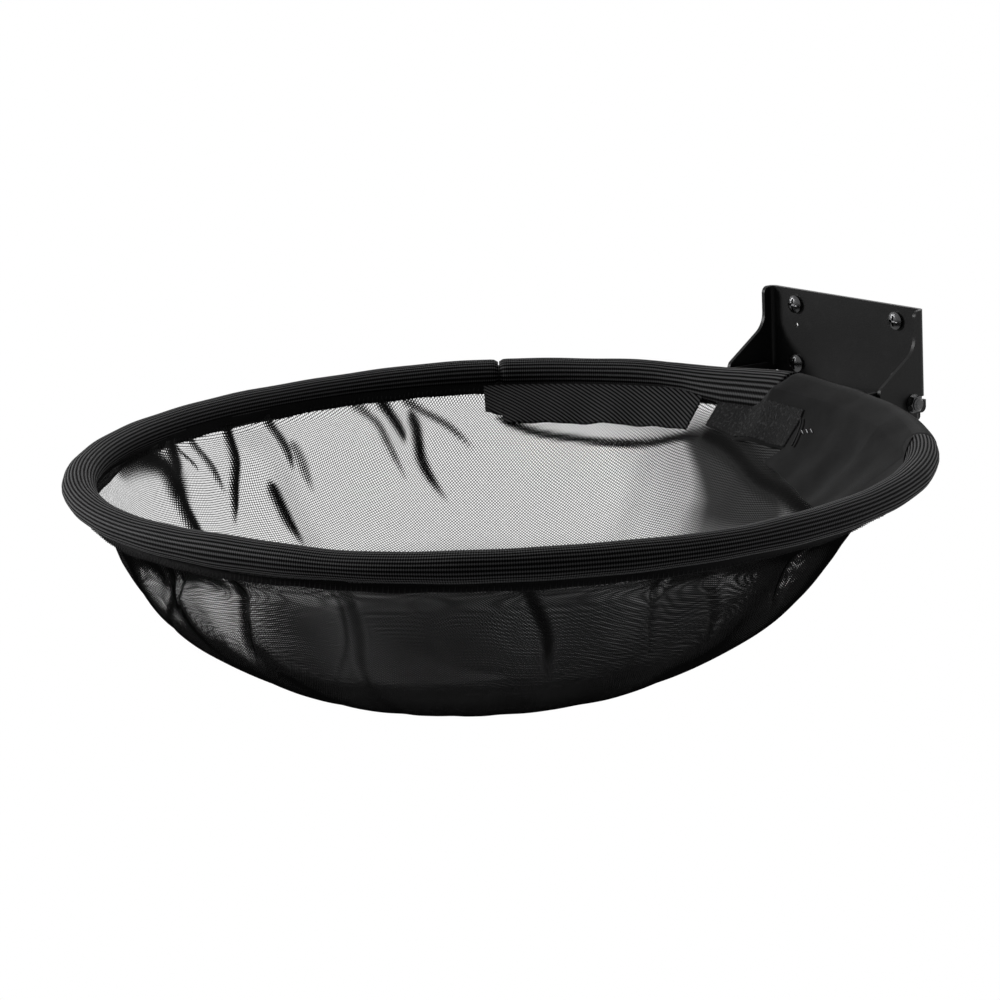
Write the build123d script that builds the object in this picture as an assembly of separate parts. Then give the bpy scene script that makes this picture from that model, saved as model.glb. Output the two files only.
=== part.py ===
from build123d import *
from math import atan, cos, degrees, radians, sin, sqrt
import os

# A round cat hammock on a folding wall bracket. All lengths are in millimetres.
# The origin is the centre of the four wall screws, on the wall's face. X runs right,
# Y runs into the wall, Z runs up, so the hammock reaches out along -Y.
# Angles round the rim are in degrees from the front, growing towards +X.

# Overall sizes
bracket_width = 110.0
rim_diameter = 435.0  # over the fabric
rim_gap = 35.7  # wall to the back of the rim
rim_fall = 19.5  # screw centre down to the rim's level
bowl_depth = 109.6  # rim's level down to the lowest cloth

# Clearances
overrun = 5.0  # how far a cutter runs past what it cuts
slide_gap = 0.05  # between flat faces that slide or turn on each other
pivot_clearance = 0.08  # radial, where the hinge ears turn on their bolts
bolt_clearance = 0.25  # radial, where a fastener passes a fixed plate
cloth_gap = 0.3  # between cloth and what it covers

# Wall bracket, folded from one sheet
plate = 2.0
bend_inside = 2.0
bracket_rise = 24.0  # top edge above the screw centre
cheek_fall = 30.0  # lowest edge of the cheeks
bend_fall = 21.5  # lower end of the bends
relief_height = 2.0
relief_setback = 1.0  # wall to the cheeks' lower back edge
tongue_fall = 36.0
tongue_inset = 3.0  # from a cheek's inner face to the tongue's edge
tongue_corner = 3.0
cheek_narrow = 8.0  # depth of the cheeks at the top
cheek_deep = 35.5  # depth of the cheeks at the bottom
slope_top = 3.8  # where the sloping edge leaves the narrow part
slope_foot = 13.1  # where it meets the deep part, below the screw centre
narrow_corner = 3.5
slope_sweep = 12.0
deep_corner = 4.0
front_foot_corner = 6.0
back_foot_corner = 3.0

# Wall screws, with a cross recess in a pan head
screw_inset = 19.0  # a side of the bracket to its screws
screw_rise = 32.0
screw_radius = 2.4
screw_neck_radius = 2.7
screw_length = 16.0  # behind the wall's face
screw_point = 5.0
screw_tip_radius = 0.4
pan_radius = 4.7
pan_height = 3.0
pan_edge = 1.3
spare_hole_radius = 1.3
spare_hole_rise = 4.8
cross_width = 1.3
cross_depth = 1.6
cross_share = 0.62  # of the head's radius

# Pivot bolts, washers and lock nuts
pivot_out = 11.0  # wall to the pivot
pivot_fall = 24.0
bolt_radius = 2.5
bolt_head_radius = 4.7
bolt_head_height = 2.9
bolt_head_edge = 1.4
bolt_proud = 0.5  # bolt end past the nut
bolt_chamfer = 0.4
slip_washer = 1.0
slip_washer_radius = 7.0
steel_washer = 0.8
steel_washer_radius = 5.0
nut_flats = 8.0
nut_height = 2.8
nut_chamfer = 0.5
nut_collar_height = 1.0
nut_collar_radius = 3.4
nut_collar_bore_share = 0.5

# Hinge plate that carries the ring
ear = 2.0
ear_bend_inside = 1.0
eye_radius = 8.0
web_top_drop = 0.6  # below the pivot
web_foot_drop = 0.5  # below the tongue
tab_depth = 9.0  # wall to the front of the ears' lower tabs
tab_corner = 2.5
arm_foot_drop = 5.6  # lower edge of an arm below the pivot
arm_sweep = 2.0
arm_end_share = 0.95  # height of an arm's end, as a share of the tube
arm_short = 2.5  # an arm stops this far before the middle of the tube
weld_leg = 1.3
weld_turn_angle = 70.0  # how far a weld reaches round the tube, each way

# Ring and its fabric casing
tube_radius = 6.0
tube_wall = 1.2
casing_side = 2.5
casing_top = 1.0
hem_length = 7.0
hem_thick = 2.0
hem_inset = 3.0  # from the middle of the tube towards the bowl
casing_start_angle = -133.0
casing_end_angle = 138.0

# Two flaps close the casing behind the bowl, each with a panel that hangs inside
left_flap_start_angle = -180.1
left_flap_end_angle = -133.4
right_flap_start_angle = 138.4
right_flap_end_angle = 179.5
panel = 1.6
panel_slope_share = 1.411  # of the bowl's own slope
panel_hang = 3.2
panel_inset = 7.2
left_panel_length = 27.5
left_panel_start_angle = -166.0
right_panel_length = 54.0
right_panel_start_angle = 128.0  # its corner tucks in under the casing's end
right_panel_end_angle = 190.8
right_edge_places = (-50.0, -10.6, 27.0, 16.4, 60.0, 85.0)  # slanting lower edge and its notch, across
right_edge_fall_shares = (0.128, 0.194, 0.185, 0.246, 0.306, 0.338)  # falls from the rim, of the bowl depth

# Hook tape sewn on the right panel
tape_width = 21.5
tape_thick = 1.4
tape_drop = 8.0
tape_start_angle = 171.5
tape_end_angle = 190.0

# Mesh bowl, level by level below its hem, with its main folds
cloth = 1.2
bowl_lean = 19.25  # how far the lowest cloth lies in front of the ring's centre
fold_depth = 4.0
depth_shares = (0.342, 0.671, 0.874, 0.968, 1.0)
width_shares = (0.868, 0.706, 0.502, 0.301, 0.12)
lean_shares = (0.70, 0.82, 0.925, 0.98, 1.0)
fold_shares = (1.0, 0.8, 0.45, 0.15, 0.0)
fold_angles = (-165, -142, -118, -93, -80, -68, -50, -30, -12, 4, 23, 38, 52, 76, 98, 122, 150, 176)

# Places worked out from the sizes
half_width = bracket_width / 2
inner_half = half_width - plate
bend_depth = plate + bend_inside
rim_half_width = tube_radius + casing_side
rim_half_height = tube_radius + casing_top
ring_radius = rim_diameter / 2 - rim_half_width
ring_centre = Vector(0, -(rim_gap + rim_diameter / 2), -rim_fall)
ring_axis = Axis(ring_centre, (0, 0, 1))
hem_radius = ring_radius - hem_inset
hem_foot = rim_half_height + hem_length
ear_outside = inner_half - slip_washer
ear_inside = ear_outside - ear
pivot = Vector(0, -pivot_out, -pivot_fall)
web_back = plate + slide_gap
web_depth = web_back + ear + ear_bend_inside
web_top = -(pivot_fall + web_top_drop)
web_foot = -(tongue_fall + web_foot_drop)
screw_rows = (screw_rise / 2, -screw_rise / 2)
screw_columns = (screw_inset - half_width, half_width - screw_inset)
panel_pitch_angle = degrees(atan(panel_slope_share * bowl_depth / ring_radius))


def tube_middle(across):
    """Where the ring tube's centre line passes a place across the bracket, at the back."""
    return Vector(across, ring_centre.Y + sqrt(ring_radius**2 - across**2), ring_centre.Z)


def outline(*corners):
    """A flat face from rows of two coordinates and a corner radius."""
    points = [(a, b) for a, b, _ in corners]
    return make_face(FilletPolyline(*points, radius=[r for _, _, r in corners], close=True))


def plate_across(face, start, end):
    """A plate whose face is drawn in the YZ plane, from one place across to another."""
    return Pos(start, 0, 0) * extrude(Plane.YZ * face, end - start)


def plate_upright(face, low, high):
    """A piece whose plan is drawn in the XY plane, from one height to another."""
    return Pos(0, 0, low) * extrude(face, high - low)


def hole_across(place, radius):
    """A cutter along X through the whole bracket."""
    return Pos(0, place.Y, place.Z) * Rot(0, 90, 0) * Cylinder(radius, bracket_width + 2 * overrun)


def channel_plan(half, back, thick, inside):
    """Plan of a folded channel's back and its two bends, each with a short straight end."""
    outside = thick + inside
    end = back - outside - thick / 2
    return outline(
        (-half, end, 0),
        (-half, back, outside),
        (half, back, outside),
        (half, end, 0),
        (half - thick, end, 0),
        (half - thick, back - thick, inside),
        (thick - half, back - thick, inside),
        (thick - half, end, 0),
    )


def pan_head(radius, height, edge):
    """A rounded head on the XY plane with a cross recess in its top."""
    side = Polyline((0, height), (0, 0), (radius, 0), (radius, edge))
    crown = RadiusArc((radius, edge), (0, height), -(radius**2 + (height - edge) ** 2) / (2 * (height - edge)))
    head = revolve(Plane.XZ * make_face(side + crown), Axis.Z)
    bar = Box(2 * radius * cross_share, cross_width, cross_depth + overrun)
    cross = bar + Rot(0, 0, 90) * bar
    return head - Pos(0, 0, height + (overrun - cross_depth) / 2) * cross


def ring_of(outer, inner, thick):
    """A flat washer standing on the XY plane."""
    return extrude(Circle(outer) - Circle(inner), thick)


def on_side(solid, across):
    """Set a piece made along Z on the pivot's line, pointing out to the right."""
    return Plane(origin=(across, pivot.Y, pivot.Z), x_dir=(0, 1, 0), z_dir=(1, 0, 0)) * solid


def rim_plane(angle):
    """The upright plane through the ring's axis at an angle: x is outward and y is up."""
    a = radians(angle)
    return Plane(origin=ring_centre, x_dir=(sin(a), -cos(a), 0), z_dir=(-cos(a), -sin(a), 0))


def round_the_rim(section, start, end):
    """Turn a section about the ring's axis from one angle to another."""
    return revolve(rim_plane(start) * section, ring_axis, end - start)


def wall_bracket():
    """Back plate with two cheeks, and the tongue that the lowered ring leans on."""
    back = plate_upright(channel_plan(half_width, 0, plate, bend_inside), -bend_fall, bracket_rise)
    relief = -(bend_fall + relief_height)
    cheek = outline(
        (-bend_depth, bracket_rise, 0),
        (-cheek_narrow, bracket_rise, narrow_corner),
        (-cheek_narrow, slope_top, slope_sweep),
        (-cheek_deep, -slope_foot, deep_corner),
        (-cheek_deep, -cheek_fall, front_foot_corner),
        (-relief_setback, -cheek_fall, back_foot_corner),
        (-relief_setback, relief, 0),
        (-bend_depth, relief, 0),
    )
    right = plate_across(cheek, inner_half, half_width)
    tongue_half = inner_half - tongue_inset
    tongue = outline(
        (-tongue_half, -bend_fall, 0),
        (-tongue_half, -tongue_fall, tongue_corner),
        (tongue_half, -tongue_fall, tongue_corner),
        (tongue_half, -bend_fall, 0),
    )
    bracket = back + right + mirror(right, Plane.YZ) + extrude(Plane.XZ * tongue, plate)
    for x in screw_columns:
        for z in screw_rows:
            bracket -= Pos(x, 0, z) * Rot(90, 0, 0) * Cylinder(screw_neck_radius + bolt_clearance, 2 * overrun)
    spare = Pos(screw_columns[0], 0, spare_hole_rise)
    bracket -= spare * Rot(90, 0, 0) * Cylinder(spare_hole_radius, 2 * overrun)
    return bracket - hole_across(pivot, bolt_radius + bolt_clearance)


def wall_screw(x, z):
    """Pan head screw, its head on the back plate and its shank in the wall."""
    shank_length = screw_length - screw_point
    neck = Pos(0, 0, -plate / 2) * Cylinder(screw_neck_radius, plate)
    shank = Pos(0, 0, -(plate + shank_length / 2)) * Cylinder(screw_radius, shank_length)
    point = Pos(0, 0, -(plate + screw_length - screw_point / 2)) * Cone(screw_tip_radius, screw_radius, screw_point)
    screw = pan_head(pan_radius, pan_height, pan_edge) + neck + shank + point
    return Plane(origin=(x, -plate, z), x_dir=(1, 0, 0), z_dir=(0, -1, 0)) * screw


def pivot_bolt():
    """Round head inside the ear, shank through ear, washers, cheek and lock nut."""
    start = ear_inside - slide_gap
    end = half_width + steel_washer + nut_height + nut_collar_height + bolt_proud
    shank = Pos(0, 0, (end - start) / 2) * Cylinder(bolt_radius, end - start)
    shank = chamfer(shank.edges().sort_by(Axis.Z)[-1], bolt_chamfer)
    head = Rot(180, 0, 0) * pan_head(bolt_head_radius, bolt_head_height, bolt_head_edge)
    return on_side(head + shank, start)


def lock_nut():
    """Hexagon with a round collar, the bolt's end showing through it."""
    hexagon = extrude(RegularPolygon(nut_flats / 2, 6, major_radius=False), nut_height)
    blank = Cylinder(nut_flats / sqrt(3), nut_height, align=(Align.CENTER, Align.CENTER, Align.MIN))
    hexagon &= chamfer(blank.edges().filter_by(GeomType.CIRCLE), nut_chamfer)
    collar = ring_of(nut_collar_radius, nut_collar_bore_share * nut_collar_radius, nut_collar_height)
    collar = chamfer(collar.edges().group_by(Axis.Z)[-1].sort_by(SortBy.RADIUS)[-1], nut_chamfer)
    bore = Cylinder(bolt_radius + slide_gap, 2 * (nut_height + nut_collar_height + overrun))
    return on_side(hexagon + Pos(0, 0, nut_height) * collar - bore, half_width + steel_washer)


def slip_washer_ring():
    """Plastic washer between ear and cheek."""
    ring = ring_of(slip_washer_radius, bolt_radius + bolt_clearance, slip_washer - slide_gap)
    return on_side(ring, ear_outside + slide_gap)


def steel_washer_ring():
    """Washer between cheek and lock nut."""
    return on_side(ring_of(steel_washer_radius, bolt_radius + bolt_clearance, steel_washer), half_width)


def ring_tube():
    """Hollow round tube bent into a closed ring."""
    wall = Pos(ring_radius, 0) * (Circle(tube_radius) - Circle(tube_radius - tube_wall))
    return round_the_rim(wall, 0, 360)


def tube_space():
    """The tube with no hollow, to fit other pieces against."""
    return round_the_rim(Pos(ring_radius, 0) * Circle(tube_radius), 0, 360)


def hinge_plate():
    """Folded channel: a web that leans on the tongue, and two arms that reach the tube."""
    web = plate_upright(channel_plan(ear_outside, -web_back, ear, ear_bend_inside), web_foot, web_top)
    arm_end = tube_middle((ear_inside + ear_outside) / 2).Y + arm_short
    arm_half = arm_end_share * tube_radius
    arm = outline(
        (-web_depth, web_top, 0),
        (-web_depth, web_foot, 0),
        (-tab_depth, web_foot, tab_corner),
        (-tab_depth, pivot.Z - arm_foot_drop, arm_sweep),
        (arm_end, ring_centre.Z - arm_half, 0),
        (arm_end, ring_centre.Z + arm_half, 0),
        (pivot.Y, pivot.Z + eye_radius, 0),
    )
    right = plate_across(arm + Pos(pivot.Y, pivot.Z) * Circle(eye_radius), ear_inside, ear_outside)
    plates = web + right + mirror(right, Plane.YZ)
    return plates - hole_across(pivot, bolt_radius + pivot_clearance) - tube_space()


def ear_welds(plates):
    """Fillet welds round the tube on both faces of an arm."""
    beads = []
    for across in (ear_inside, ear_outside):
        middle = tube_middle(across)
        section = Plane(origin=middle, x_dir=(1, 0, 0), z_dir=(0, 0, 1)) * Pos(0, tube_radius) * Circle(weld_leg)
        axis = Axis(middle, (1, 0, 0))
        bead = revolve(section.rotate(axis, -weld_turn_angle), axis, 2 * weld_turn_angle)
        beads.append(bead - tube_space() - plates)
    return Compound(children=[s for bead in beads for s in bead.solids()])


def casing_section():
    """Stuffed casing round the tube, with the seam allowance that takes the mesh."""
    hem_head = tube_radius + cloth_gap / 2
    hem_length_sewn = hem_foot - hem_head
    hem = Pos(-hem_inset, -(hem_head + hem_foot) / 2) * Rectangle(hem_thick, hem_length_sewn)
    bore = Circle(tube_radius + cloth_gap)
    return Pos(ring_radius, 0) * (Ellipse(rim_half_width, rim_half_height) + hem - bore)


def on_panel(length, thick, along, above):
    """Section of a strip that lies along the line the panels hang on."""
    head = Pos(ring_radius - panel_inset, -panel_hang)
    return head * Rot(0, 0, panel_pitch_angle) * Pos(-(along + length / 2), above) * Rectangle(length, thick)


def ear_slot(side):
    """Cutter that lets an arm and its welds into the back of the casing."""
    margin = weld_leg + cloth_gap
    width = ear + 2 * margin
    middle = tube_middle((ear_inside + ear_outside) / 2)
    depth = rim_half_width + overrun
    height = 2 * (rim_half_height + overrun)
    return Pos(side * middle.X, middle.Y + depth / 2, middle.Z) * Box(width, depth, height)


def under_right_edge():
    """Cutter for all that hangs below the right panel's edge, behind the ring's centre."""
    edge = [(x, -share * bowl_depth) for x, share in zip(right_edge_places, right_edge_fall_shares)]
    below = -(bowl_depth + overrun)
    waste = make_face(Polyline(*edge, (edge[-1][0], below), (edge[0][0], below), close=True))
    return Pos(0, 0, ring_centre.Z) * extrude(Plane.XZ * waste, -ring_centre.Y)


def rim_sleeve():
    """Ribbed casing round most of the tube."""
    return round_the_rim(casing_section(), casing_start_angle, casing_end_angle)


def left_flap():
    """Ribbed flap: its casing and the short panel inside the bowl."""
    wrap = round_the_rim(casing_section(), left_flap_start_angle, left_flap_end_angle)
    hung = round_the_rim(on_panel(left_panel_length, panel, 0, 0), left_panel_start_angle, left_flap_end_angle)
    return wrap + hung - ear_slot(-1)


def right_flap():
    """Smooth flap: its casing and the long panel with the slanting lower edge."""
    wrap = round_the_rim(casing_section(), right_flap_start_angle, right_flap_end_angle)
    hung = round_the_rim(on_panel(right_panel_length, panel, 0, 0), right_panel_start_angle, right_panel_end_angle)
    neighbour = Pos(ring_radius, 0) * Ellipse(rim_half_width + cloth_gap, rim_half_height + cloth_gap)
    before = round_the_rim(neighbour, 2 * right_panel_start_angle - right_flap_start_angle, right_flap_start_angle)
    after = round_the_rim(neighbour, right_flap_end_angle, 2 * right_panel_end_angle - right_flap_end_angle)
    return wrap + (hung - under_right_edge() - before - after) - ear_slot(1)


def closure_tape():
    """Stiff hook tape on the face of the right panel, trimmed with its edge."""
    above = (panel + tape_thick) / 2 + slide_gap
    strip = round_the_rim(on_panel(tape_width, tape_thick, tape_drop, above), tape_start_angle, tape_end_angle)
    return strip - under_right_edge()


def cloth_level(height, radius, lean, fold):
    """One level of the bowl: outward arcs that meet at the fold lines."""

    def place(angle, reach):
        a = radians(angle)
        return ring_centre + Vector(reach * sin(a), -lean - reach * cos(a), height)

    arcs = []
    for a, b in zip(fold_angles, fold_angles[1:] + (fold_angles[0] + 360,)):
        arcs.append(ThreePointArc(place(a, radius - fold), place((a + b) / 2, radius), place(b, radius - fold)))
    return make_face(arcs)


def mesh_bowl():
    """Hanging mesh bag, open at the top, whose folds run down from the hem."""
    mouth = hem_radius + hem_thick / 2
    rows = list(zip(depth_shares, width_shares, lean_shares, fold_shares))
    outside = [cloth_level(-hem_foot, mouth, 0, 0)]
    inside = [cloth_level(-hem_foot, mouth - cloth, 0, 0)]
    for depth, width, lean, fold in rows:
        level = (-depth * bowl_depth, width * mouth, lean * bowl_lean, fold * fold_depth)
        outside.append(cloth_level(*level))
        inside.append(cloth_level(level[0] + cloth, level[1] - cloth, *level[2:]))
    return loft(outside) - loft(inside)


def write(name, shape):
    """Save one sub-part and print its volume."""
    export_step(shape, f"parts/{name}.step")
    print(name, "volume", round(shape.volume))


os.makedirs("parts", exist_ok=True)
hinge = hinge_plate()
write("wall_bracket", wall_bracket())
for row, z in zip(("upper", "lower"), screw_rows):
    for column, x in zip(("left", "right"), screw_columns):
        write(f"wall_screw_{row}_{column}", wall_screw(x, z))
pairs = {
    "pivot_bolt": pivot_bolt(),
    "slip_washer": slip_washer_ring(),
    "steel_washer": steel_washer_ring(),
    "lock_nut": lock_nut(),
    "ear_weld": ear_welds(hinge),
}
for name, shape in pairs.items():
    write(f"{name}_right", shape)
    write(f"{name}_left", mirror(shape, Plane.YZ))
write("hinge_plate", hinge)
write("ring_tube", ring_tube())
write("rim_sleeve", rim_sleeve())
write("left_flap", left_flap())
write("right_flap", right_flap())
write("closure_tape", closure_tape())
write("mesh_bowl", mesh_bowl())
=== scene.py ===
import math

import bpy
import numpy as np
from mathutils import Matrix, Vector


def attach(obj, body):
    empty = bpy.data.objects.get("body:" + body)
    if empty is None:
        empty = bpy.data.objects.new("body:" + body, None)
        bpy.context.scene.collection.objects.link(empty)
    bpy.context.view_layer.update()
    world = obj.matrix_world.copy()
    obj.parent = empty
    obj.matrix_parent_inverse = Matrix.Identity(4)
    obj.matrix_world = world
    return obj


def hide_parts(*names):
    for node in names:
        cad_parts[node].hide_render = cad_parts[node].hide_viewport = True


# The round cat hammock on its folding wall bracket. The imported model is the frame: origin
# at the centre of the four wall screws, X right, Y into the wall, Z up, in metres.
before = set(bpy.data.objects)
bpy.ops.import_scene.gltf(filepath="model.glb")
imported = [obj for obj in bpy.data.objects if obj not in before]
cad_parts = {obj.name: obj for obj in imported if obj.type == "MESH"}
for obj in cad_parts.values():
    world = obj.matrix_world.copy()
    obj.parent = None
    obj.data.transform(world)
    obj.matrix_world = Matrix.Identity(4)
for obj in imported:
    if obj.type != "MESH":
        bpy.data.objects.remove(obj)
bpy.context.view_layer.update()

# Camera: its place and lens follow from two lengths known on the object, the width of the
# covered rim and the width of the bracket. Angles in degrees, distances in metres.
camera_azimuth = 46.7807
camera_height = 13.0107
camera_roll = -2.10288
camera_distance = 2.853985
camera_target = Vector((0.0, -0.24, -0.0195))
turn, lift, roll = (math.radians(a) for a in (camera_azimuth, camera_height, camera_roll))
back = Vector((math.sin(turn) * math.cos(lift), -math.cos(turn) * math.cos(lift), math.sin(lift)))
level = Vector((math.cos(turn), math.sin(turn), 0))
upward = back.cross(level)
right = level * math.cos(roll) + upward * math.sin(roll)
upward = upward * math.cos(roll) - level * math.sin(roll)
camera = bpy.data.objects.new("camera", bpy.data.cameras.new("camera"))
aim = Matrix((right, upward, back)).transposed().to_4x4()
camera.matrix_world = Matrix.Translation(camera_target + back * camera_distance) @ aim
camera.data.sensor_width = 36.0
camera.data.lens = 206.31
camera.data.shift_x = -0.01983
camera.data.shift_y = -0.03988
camera.data.clip_end = 100.0
bpy.context.collection.objects.link(camera)
bpy.context.scene.camera = camera

# Wall bracket: one folded steel sheet, a back plate with two cheeks and a short tongue.
# Black powder coat, satin, with the fine orange peel that such a coat has.


class Wire:
    """An output of a shader node. Sums and products of wires and numbers add Math nodes."""

    def __init__(self, tree, out=None):
        self.tree = tree
        self.out = out

    def node(self, kind, settings, values, out=0):
        """Any shader node: its settings, then its sockets' values or wires, then the output wanted."""
        made = self.tree.nodes.new("ShaderNode" + kind)
        for name, value in settings.items():
            setattr(made, name, value)
        for name, value in values.items():
            if isinstance(value, Wire):
                self.tree.links.new(value.out, made.inputs[name])
            else:
                made.inputs[name].default_value = value
        return Wire(self.tree, made.outputs[out])

    def math(self, operation, *values):
        return self.node("Math", {"operation": operation}, dict(enumerate(values)))

    def __add__(self, other):
        return self.math("ADD", self, other)

    def __sub__(self, other):
        return self.math("SUBTRACT", self, other)

    def __rsub__(self, other):
        return self.math("SUBTRACT", other, self)

    def __mul__(self, other):
        return self.math("MULTIPLY", self, other)

    def __pow__(self, other):
        return self.math("POWER", self, other)

    __radd__ = __add__
    __rmul__ = __mul__

    def wave(self, pitch):
        """From 0 to 1 and back over each pitch, highest at its whole multiples."""
        return 0.5 + 0.5 * self.math("COSINE", self * (2 * math.pi / pitch))

    def between(self, low, high):
        """0 below low, 1 above high and smooth between them."""
        values = {"Value": self, "From Min": low, "From Max": high}
        return self.node("MapRange", {"interpolation_type": "SMOOTHSTEP"}, values)

    def blend(self, first, second):
        """A colour from the first to the second as this wire goes from 0 to 1."""
        return self.node("Mix", {"data_type": "RGBA"}, {0: self, 6: first, 7: second}, 2)

    def bump(self, strength, reach):
        """The surface roughened by this wire's height, over a reach in metres."""
        return self.node("Bump", {}, {"Strength": strength, "Distance": reach, "Height": self})

    def larger(self, other):
        return self.math("MAXIMUM", self, other)

    def noise(self, scale, detail=2.0):
        return self.node("TexNoise", {}, {"Vector": self, "Scale": scale, "Detail": detail})

    def part(self, letter):
        return self.node("SeparateXYZ", {}, {"Vector": self}, letter)

    def on_object(self):
        """Places on the piece, in metres."""
        return self.node("TexCoord", {}, {}, "Object")

    def on_cloth(self):
        """Lengths along and across the cut cloth, in metres."""
        return self.node("UVMap", {"uv_map": "cut"}, {})

    def onto(self, output):
        """Lead this shader to its tree's output, as the surface."""
        self.tree.links.new(self.out, self.tree.nodes[output].inputs["Surface"])


def finish(name, paint, **fixed):
    """A material: paint gets a first wire and returns what varies, fixed holds the plain sockets.
    Painted pit shade is a black diffuse mixed in between ribs and stitches, where shade falls."""
    material = bpy.data.materials.new(name)
    material.use_nodes = True
    tree = material.node_tree
    shader = tree.nodes["Principled BSDF"]
    for socket, value in fixed.items():
        shader.inputs[socket.replace("_", " ")].default_value = value
    varied = paint(Wire(tree))
    painted_pit_shade = varied.pop("Pits", None)
    for socket, wire in varied.items():
        tree.links.new(wire.out, shader.inputs[socket])
    # Painted shade: where it falls between ribs and stitches, a black diffuse is mixed in.
    if painted_pit_shade:
        shade = painted_pit_shade.node("BsdfDiffuse", {}, {"Color": grey(0.0004)})
        mixed = painted_pit_shade.node("MixShader", {}, {0: painted_pit_shade, 1: Wire(tree, shader.outputs[0]), 2: shade})
        mixed.onto("Material Output")
    return material


def grey(level):
    """Black or grey of a level, a touch cold."""
    return (level, level, level * 1.02, 1.0)


def wear(obj, material):
    """Give a piece its material in place of any it came with."""
    obj.data.materials.clear()
    obj.data.materials.append(material)


def powder_coat(start):
    place = start.on_object()
    peel = place.noise(1500.0, 3.0)
    cloud = place.noise(28.0, 4.0)
    rub = place.noise(210.0, 5.0).between(0.56, 0.72)
    return {
        "Base Color": (cloud * 0.7 + rub * 0.3).blend(grey(0.003), grey(0.008)),
        "Roughness": 0.34 + 0.1 * cloud + 0.08 * peel,
        "Normal": peel.bump(0.22, 0.0004),
    }


coated_steel = finish("coated_steel", powder_coat, Specular_IOR_Level=0.1)
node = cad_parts
wear(node["wall_bracket"], coated_steel)
edges = node["wall_bracket"].modifiers.new("soft_edges", "BEVEL")
edges.width = 0.00035
edges.segments = 2
edges.limit_method = "ANGLE"
edges.angle_limit = math.radians(50)

# Wall screws, pivot bolts, steel washers and lock nuts: steel with a glossy black zinc coat,
# rubbed a little brighter on its raised places.


def black_zinc(start):
    place = start.on_object()
    cloud = place.noise(350.0, 4.0)
    scuff = place.noise(2200.0, 3.0).between(0.52, 0.7)
    return {
        "Base Color": (cloud * 0.6 + scuff * 0.4).blend(grey(0.035), grey(0.11)),
        "Roughness": 0.2 + 0.14 * cloud,
        "Normal": scuff.bump(0.15, 0.0002),
    }


zinc = finish("black_zinc", black_zinc, Metallic=1.0)
for name, piece in node.items():
    if name.startswith(("wall_screw", "pivot_bolt", "steel_washer", "lock_nut")):
        wear(piece, zinc)

# Slip washers: dull black moulded nylon, one between each ear of the hinge plate and the
# bracket's cheek, held there by the pivot bolt.


def moulded_nylon(start):
    place = start.on_object()
    grain = place.noise(900.0, 3.0)
    return {
        "Base Color": grain.blend(grey(0.012), grey(0.022)),
        "Roughness": 0.5 + 0.15 * grain,
        "Normal": grain.bump(0.2, 0.0002),
    }


nylon = finish("black_nylon", moulded_nylon, Specular_IOR_Level=0.2)
for side in ("left", "right"):
    wear(node["slip_washer_" + side], nylon)

# Hinge plate, its welds and the ring tube: the same coated steel as the bracket.
# The tube carries the bowl and is out of sight inside the casing.
for name in ("hinge_plate", "ear_weld_left", "ear_weld_right", "ring_tube"):
    wear(node[name], coated_steel)

# Rim casing: a stuffed sleeve of ribbed black knit round the tube, from the notch at the far
# side, along the front, to the smooth flap. Its ribs run along the rim. Sizes in millimetres.
rim_centre_out = 253.2
rim_level = -19.5
tube_circle = 209.0
casing_half_width = 8.5
casing_half_height = 7.0
rib_pitch = 1.88
rib_height = 0.36
stitch_pitch = 1.18
casing_start = -133.2
casing_end = 138.0
# A sleeve's grid: its bore on the tube, points round it and mm from row to row, then over how
# many mm its ends are pulled in, and how much cloth closes each of them.
tube_bore = 6.1
section_points = 182
row_step = 2.0
end_reach = 1.2
end_inset = 2.4
# Where the stuffing makes the top fuller: degrees round the rim, and mm.
full_places = (
    -180, -162, -157, -152, -126, -112, -100, -14, 2, 10, 18, 27, 36, 46, 58, 66, 76, 150, 160, 180,
)
full_height = (0, 0, 1.8, 2.2, 2.3, 1.1, 0, 0.3, 1.7, 2.1, 1.4, 0.2, 0.8, 1.7, 2.0, 1.4, 0.5, 0.2, 0, 0)


def at_rim(angle, out, up):
    """Places in the frame from degrees round the rim, with 0 at the front and 90 at the right,
    mm out from its axis and mm above it."""
    a = np.radians(angle)
    x = out * np.sin(a)
    y = -rim_centre_out - out * np.cos(a)
    z = up + rim_level
    return np.stack(np.broadcast_arrays(x, y, z), -1) / 1000


def waves(along, seed, lengths, size):
    """A soft uneven swell made of a few sine waves, in mm."""
    random = np.random.default_rng(seed)
    total = 0 * along
    for length in lengths:
        shift = random.uniform(0, 2 * np.pi)
        total = total + np.sin(2 * np.pi * along / length + shift) * size / len(lengths)
    return total


def short_way(angle, centre):
    """Degrees round the rim from a centre, the short way, from -180 to 180."""
    return (angle - centre + 180) % 360 - 180


def swell_at(angle, centre, reach):
    """1 at a place round the rim, and less on both sides over a reach, in degrees."""
    return np.exp(-((short_way(angle, centre) / reach) ** 2))


def top_share(up):
    """0 on the casing's lower part and 1 near its top, from mm above the rim's level."""
    return np.clip((up + 3) / 8, 0, 1)


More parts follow.
